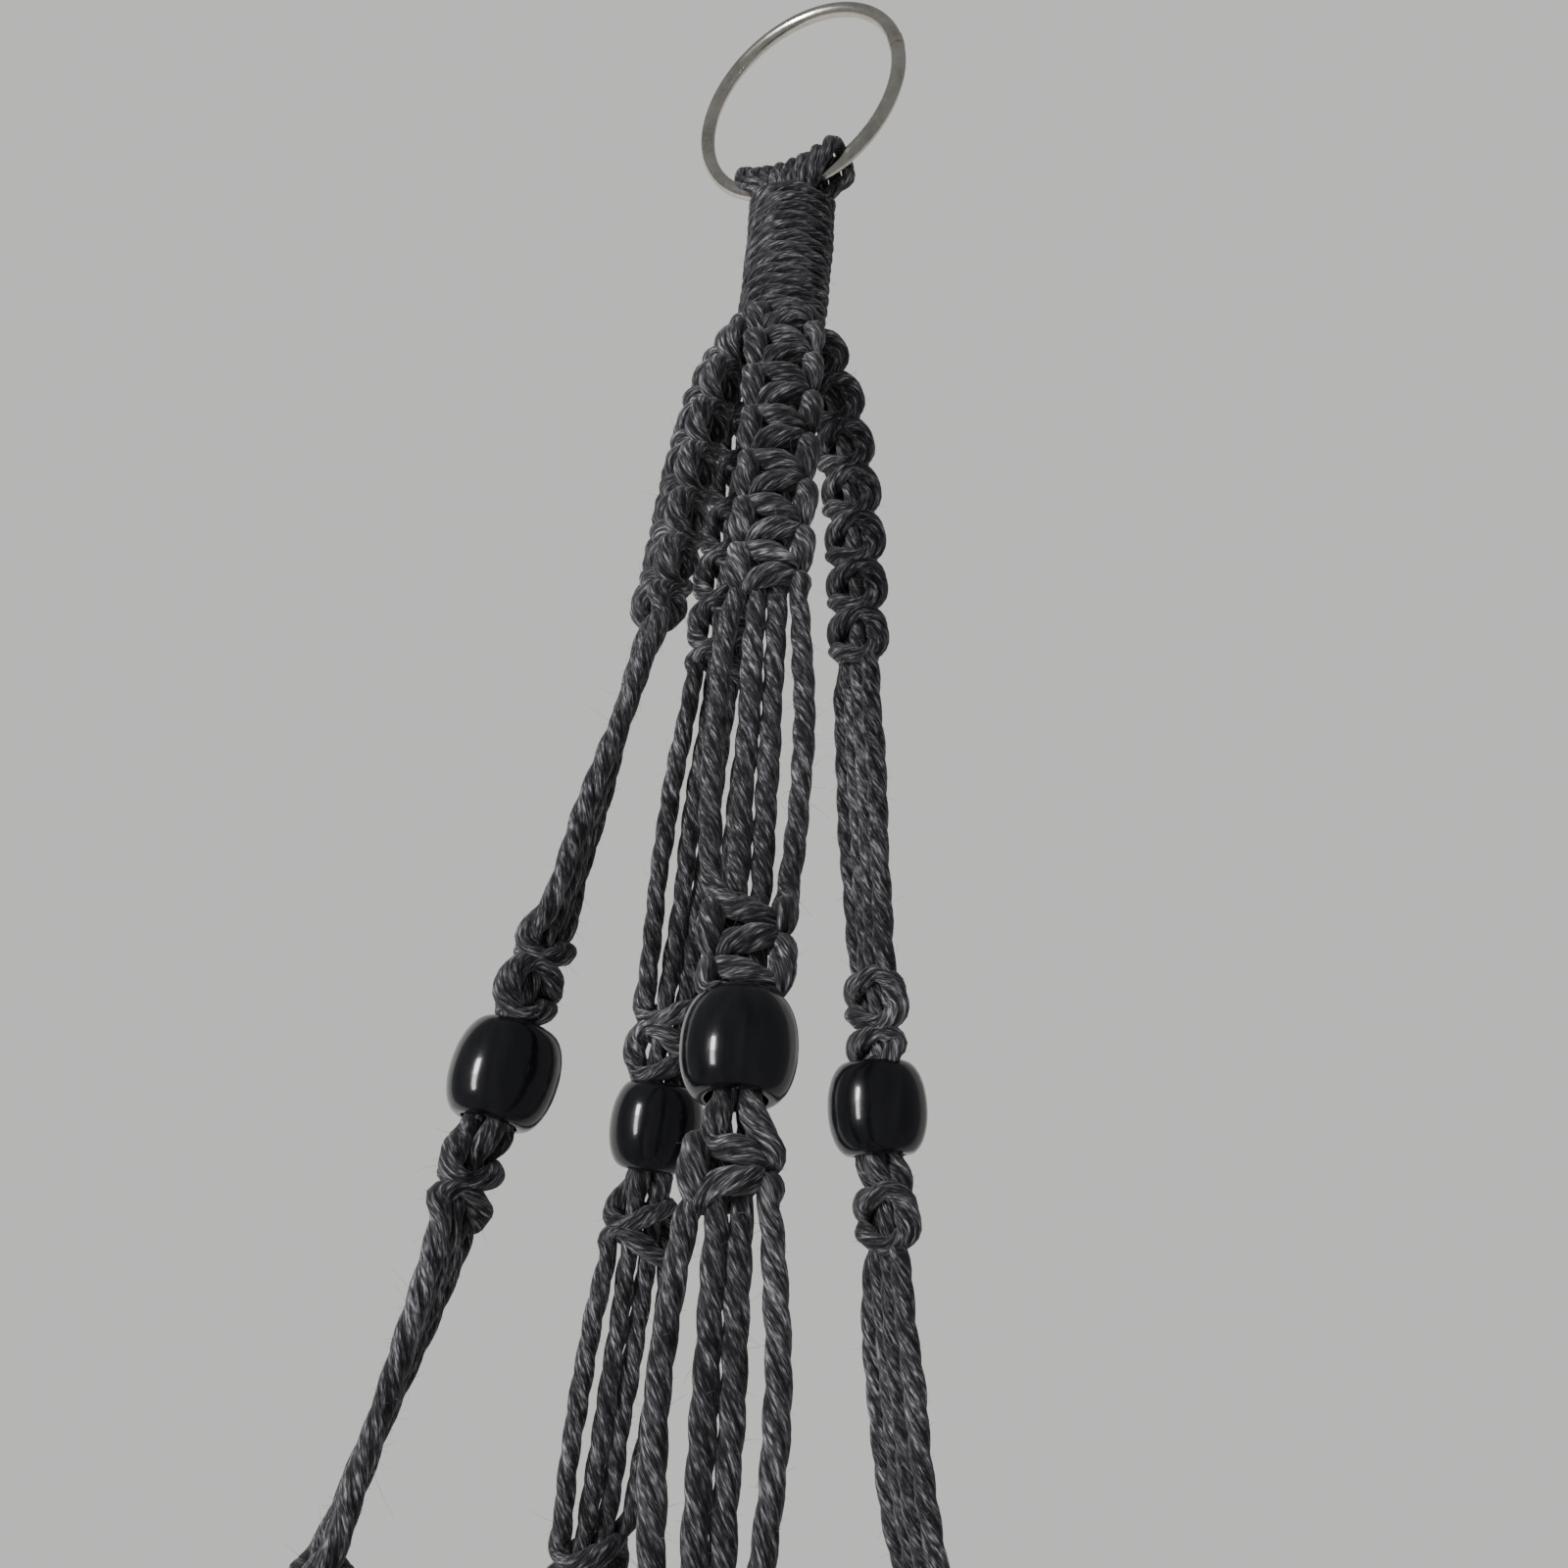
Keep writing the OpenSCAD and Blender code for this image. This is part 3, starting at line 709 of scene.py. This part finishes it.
base_z = cross_z - net_knot_l - BASE_DROP
tassel_z = base_z - BASE_TURNS * TURN_PITCH
outer_reach = BUNDLE_PITCH / math.sin(math.radians(15))
inner_reach = BUNDLE_PITCH * math.sqrt(2)
straight_down = np.array([0, 0, -1.0])
tassel = []
for i, knot in enumerate(cross_knots):
    lanes = knot.tie(f"cross_knot_{ARMS[i]}_cord")
    for k, cord in enumerate(lanes):
        reach = inner_reach if k == 2 else outer_reach
        turn = BUNDLE_TURN + i * math.pi / 2 + FAN[k]
        top = upright(turn, reach, base_z)
        start = knot.end + knot.across * LANES[k]
        line = cubic(start, knot.ahead, LEAVE[k], top, straight_down, ENTER[k], 12)
        inside = [(*upright(turn, reach * 0.93, base_z + f * (tassel_z - base_z)), 0.9) for f in (0.25, 0.75)]
        stretch(cord, f"base_strands_{ARMS[i]}_cord", [*line[1:], *inside])
        hang = TASSEL_L - TRIM[(2 * i + 3 * k) % len(TRIM)]
        strand = f"tassel_{ARMS[i]}_{k + 1}"
        stretch(cord, strand, [upright(turn, reach * wide, tassel_z - hang * f) for f, wide in SPREAD])
        tassel.append((cord, strand, f"tassel_{ARMS[i]}"))

# Only now is every cord's route known to its end, so here the sixteen are laid.
laid = {cord: lay_cord(route) for cord, route in routes.items()}
wind("base_wrap", BASE_WRAP_R, base_z, BASE_TURNS)
for name in [name for name in tubes if name not in bpy.data.objects]:
    piece = cord_piece(name)
    if not name.startswith("tassel"):
        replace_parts(piece, name.removesuffix("_cord"))
for cord, strand, node in tassel:
    piece = bpy.data.objects[strand]
    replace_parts(piece, node)
    line = laid[cord][strand][0]

# --- Loose fibres -----------------------------------------------------------
# Short cotton hairs stand out from the cords all over, a few of them long.
hair_finish = Finish("loose_fibre", Roughness=0.8, Specular_IOR_Level=0.3, Sheen_Weight=0.3)
hair_place = hair_finish.add("TexCoord", output="Object")
hair_tone = hair_finish.add("TexNoise", {}, {"Vector": hair_place, "Scale": 300.0, "Detail": 1.0}, "Fac")
hair_stops = [(0.35, (0.02, 0.02, 0.022)), (0.65, (0.14, 0.14, 0.15))]
hair_finish.feed("Base Color", hair_finish.add("ValToRGB", {"stops": hair_stops}, {"Fac": hair_tone}))
HAIR_R = 0.035 * MM
HAIR_STEPS = 3
HAIR_L, HAIR_MORE_L = 0.9 * MM, 2.6 * MM
LONG_HAIRS = 0.04
CORNERS = [i * 2 * math.pi / 3 for i in range(3)]


def grow_hairs(name, sources, chance):
    """Three-sided tapering hairs on some of the steps of the cords that were laid for these pieces."""
    points, faces = [], []
    for source in sources:
        for ring_points, normals, ahead in fluff[source]:
            if rng.random() > chance:
                continue
            j = int(rng.integers(ROUND))
            root, out = ring_points[j], normals[j]
            length = HAIR_L + HAIR_MORE_L * rng.random() ** 3
            length *= 2 if rng.random() < LONG_HAIRS else 1
            rise, lean, sway = rng.uniform(0.35, 1.0), rng.uniform(-1.2, 1.2), rng.uniform(-1, 1)
            way = unit(out * rise + ahead * lean + np.cross(out, ahead) * sway)
            bend = unit(rng.normal(size=3)) * 0.6
            across = unit(np.cross(way, [0.3, 0.5, 0.8]))
            up = np.cross(way, across)
            base = len(points)
            for m in range(HAIR_STEPS + 1):
                f = m / HAIR_STEPS
                c = root - out * 0.15 * MM + way * length * f + bend * length * f * f
                r = HAIR_R * (1 - 0.6 * f)
                points.extend((c + r * (math.cos(t) * across + math.sin(t) * up)).tolist() for t in CORNERS)
            for m in range(HAIR_STEPS):
                for n in range(3):
                    a, b = base + 3 * m + n, base + 3 * m + (n + 1) % 3
                    faces.append((a, b, b + 3, a + 3))
            tip = base + 3 * HAIR_STEPS
            faces.extend([(base + 2, base + 1, base), (tip, tip + 1, tip + 2)])
    piece = mesh_piece(name, points, faces, None, hair_finish.material)
    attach(piece, "hanger")


NET_PIECES = ("net", "cross", "base")
for arm_name in ARMS:
    own = [n for n in fluff if n.endswith(f"_{arm_name}_cord") and not n.startswith(NET_PIECES)]
    grow_hairs(f"fibres_{arm_name}", own, 0.9)
grow_hairs("fibres_net", [n for n in fluff if n.startswith(NET_PIECES)], 0.35)
grow_hairs("fibres_tassel", [n for n in fluff if n.startswith("tassel")], 0.3)
grow_hairs("fibres_top", ["gathered_legs_cord", "top_wrap_cord"], 0.9)

# --- Beads ------------------------------------------------------------------
# A turned wooden barrel bead with a large hole, dipped in thick black lacquer.
# One is turned, and a copy of it threaded on each arm, free to spin on the cords.
lacquer = Finish("black_lacquer", Coat_Weight=0.55, Coat_Roughness=0.08, Specular_IOR_Level=0.2)
bead_place = lacquer.add("TexCoord", output="Object")
grain_map = lacquer.add("Mapping", {}, {"Vector": bead_place, "Scale": (1.0, 1.0, 0.12)})
grain = lacquer.add("TexNoise", {}, {"Vector": grain_map, "Scale": 420.0, "Detail": 3.0}, "Fac")
ripple = lacquer.add("TexNoise", {}, {"Vector": bead_place, "Scale": 260.0, "Detail": 2.0}, "Fac")
lacquer_stops = [(0.3, (0.002, 0.002, 0.003)), (0.7, (0.008, 0.008, 0.010))]
lacquer.feed("Base Color", lacquer.add("ValToRGB", {"stops": lacquer_stops}, {"Fac": grain}))
lacquer.feed("Roughness", 0.14 + ripple * 0.14)
unevenness = {"Height": grain * 0.5 + ripple * 0.5, "Strength": 0.25, "Distance": 0.4 * MM}
lacquer.feed("Normal", lacquer.add("Bump", {}, unevenness))
BEAD_R = 10.0 * MM
BEAD_HALF_L = 9.2 * MM
LIP_R = 5.75 * MM
BORE_R = 5.3 * MM
BELT = 0.3 * MM
LIP_SOFT = 0.18 * MM

# The wall starts as a flat blank beside the axis. Its outer corners are rounded, it is drawn
# out to the bead's length and softened at the bore, and then it is turned round the axis.
bpy.ops.object.select_all(action="DESELECT")
bpy.ops.mesh.primitive_plane_add(size=1, rotation=(math.pi / 2, 0, 0))
blank = bpy.context.object
shoulder = BEAD_R - LIP_R
blank.scale = (BEAD_R - BORE_R, 2 * shoulder + BELT, 1)
blank.location = ((BEAD_R + BORE_R) / 2, 0, 0)
bpy.ops.object.transform_apply(location=True, rotation=True, scale=True)


def pick(chosen):
    """Selects the blank's corners for which the test holds."""
    bpy.ops.object.mode_set(mode="EDIT")
    bpy.ops.mesh.select_mode(type="VERT")
    bpy.ops.mesh.select_all(action="DESELECT")
    bpy.ops.object.mode_set(mode="OBJECT")
    for corner in blank.data.vertices:
        corner.select = chosen(corner.co)
    bpy.ops.object.mode_set(mode="EDIT")


pick(lambda p: p.x > (BEAD_R + BORE_R) / 2)
bpy.ops.mesh.bevel(offset_type="OFFSET", offset=shoulder, segments=12, affect="VERTICES")
bpy.ops.mesh.select_all(action="SELECT")
bpy.ops.transform.resize(value=(1, 1, BEAD_HALF_L / (shoulder + BELT / 2)), center_override=(0, 0, 0))
pick(lambda p: p.x < BORE_R + 0.1 * MM)
bpy.ops.mesh.bevel(offset_type="OFFSET", offset=LIP_SOFT, segments=3, affect="VERTICES")
bpy.ops.mesh.select_all(action="SELECT")
bpy.ops.mesh.delete(type="ONLY_FACE")
bpy.ops.mesh.select_all(action="SELECT")
bpy.ops.mesh.spin(steps=64, angle=2 * math.pi, center=(0, 0, 0), axis=(0, 0, 1))
bpy.ops.mesh.select_all(action="SELECT")
bpy.ops.mesh.remove_doubles(threshold=0.01 * MM)
bpy.ops.mesh.normals_make_consistent(inside=False)
bpy.ops.object.mode_set(mode="OBJECT")
bpy.ops.object.shade_smooth_by_angle(angle=math.radians(50))
blank.data.materials.append(lacquer.material)

joints = {j["name"]: j for j in frame["joints"]}
for arm_name in ARMS:
    spin = joints[f"bead_{arm_name}_spin"]
    bead = blank.copy()
    bead.data = blank.data.copy()
    bead.name = bead.data.name = f"bead_{arm_name}_lacquered"
    bpy.context.scene.collection.objects.link(bead)
    bead.location = spin["pos_m"]
    bead.rotation_mode = "QUATERNION"
    bead.rotation_quaternion = Vector((0, 0, 1)).rotation_difference(Vector(unit(spin["axis"])))
    bpy.ops.object.select_all(action="DESELECT")
    bpy.context.view_layer.objects.active = bead
    bead.select_set(True)
    bpy.ops.object.transform_apply(location=True, rotation=True, scale=True)
    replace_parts(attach(bead, f"bead_{arm_name}"), f"bead_{arm_name}")
bpy.data.objects.remove(blank)

# --- Room, light and camera -------------------------------------------------
# A pale floor under a pale sky, a white card behind the hanger, two lamps like
# the panes of a window at its left, and soft fills from above and behind.
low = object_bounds()[0]
bpy.ops.object.select_all(action="DESELECT")
bpy.ops.mesh.primitive_plane_add(size=5, location=(0, 0, low.z - 0.02))
floor = bpy.context.object
floor.name = "floor"
pale = Finish(
    "pale_floor",
    Roughness=0.9,
    Base_Color=(0.7, 0.7, 0.69, 1),
    Emission_Color=(1, 1, 0.99, 1),
    Emission_Strength=0.4,
)
floor.data.materials.append(pale.material)
floor.visible_glossy = False

# The camera sees pale daylight all round, the cords its soft light, and gloss a dimmer room.
world = bpy.data.worlds.new("daylight")
bpy.context.scene.world = world
world.use_nodes = True
sky = world.node_tree
path = sky.nodes.new("ShaderNodeLightPath")
seen = sky.nodes["Background"]
for ray, grey in (("Is Diffuse Ray", 0.17), ("Is Glossy Ray", 0.2)):
    room = sky.nodes.new("ShaderNodeBackground")
    room.inputs["Color"].default_value = (grey * 0.97, grey, grey * 1.04, 1)
    choice = sky.nodes.new("ShaderNodeMixShader")
    sky.links.new(path.outputs[ray], choice.inputs[0])
    sky.links.new(seen.outputs[0], choice.inputs[1])
    sky.links.new(room.outputs[0], choice.inputs[2])
    seen = choice
sky.links.new(seen.outputs[0], sky.nodes["World Output"].inputs["Surface"])
sky.nodes["Background"].inputs["Color"].default_value = (0.66, 0.66, 0.65, 1)

bpy.ops.mesh.primitive_plane_add(size=1, location=(0, 0.2, -0.3), rotation=(math.pi / 2, 0, 0))
bounce = bpy.context.object
bounce.name = "bounce_card"
card = Finish("bounce_card", Roughness=1.0, Base_Color=(0.5, 0.5, 0.49, 1))
bounce.data.materials.append(card.material)
bounce.visible_camera = False
bounce.visible_shadow = False


def lamp(name, place, aim, width, height, watts):
    light = bpy.data.lights.new(name, "AREA")
    light.shape, light.size, light.size_y = "RECTANGLE", width, height
    light.energy = watts
    holder = bpy.data.objects.new(name, light)
    holder.location = place
    holder.rotation_euler = (Vector(aim) - Vector(place)).to_track_quat("-Z", "Y").to_euler()
    bpy.context.scene.collection.objects.link(holder)
    return holder


lamp("upper_window", (-1.04, -0.9, 0.02), (0, 0, -0.25), 0.2, 0.36, 13)
lamp("lower_window", (-1.04, -0.9, -0.4), (0, 0, -0.25), 0.2, 0.44, 7)
lamp("sky_fill", (-0.3, -1.6, 1.1), (0, 0, -0.3), 1.8, 1.4, 12).visible_glossy = False
lamp("rear_fill", (0.9, 1.7, 0.8), (0, 0, -0.3), 1.6, 1.4, 14).visible_glossy = False

camera = bpy.data.objects.new("camera", bpy.data.cameras.new("camera"))
bpy.context.scene.collection.objects.link(camera)
bpy.context.scene.camera = camera
camera.data.sensor_width = 36
camera.data.lens = 35.98
camera.data.clip_start = 0.005
yaw, pitch, roll = (math.radians(a) for a in (-1.07, 20.46, 4.05))
ahead = Vector((math.sin(yaw) * math.cos(pitch), math.cos(yaw) * math.cos(pitch), math.sin(pitch)))
level = Vector((math.cos(yaw), -math.sin(yaw), 0))
above = level.cross(ahead)
right = math.cos(roll) * level + math.sin(roll) * above
up = -math.sin(roll) * level + math.cos(roll) * above
facing = Matrix((right, up, -ahead)).transposed().to_4x4()
camera.matrix_world = Matrix.Translation((0.0135, -0.3018, -0.3165)) @ facing
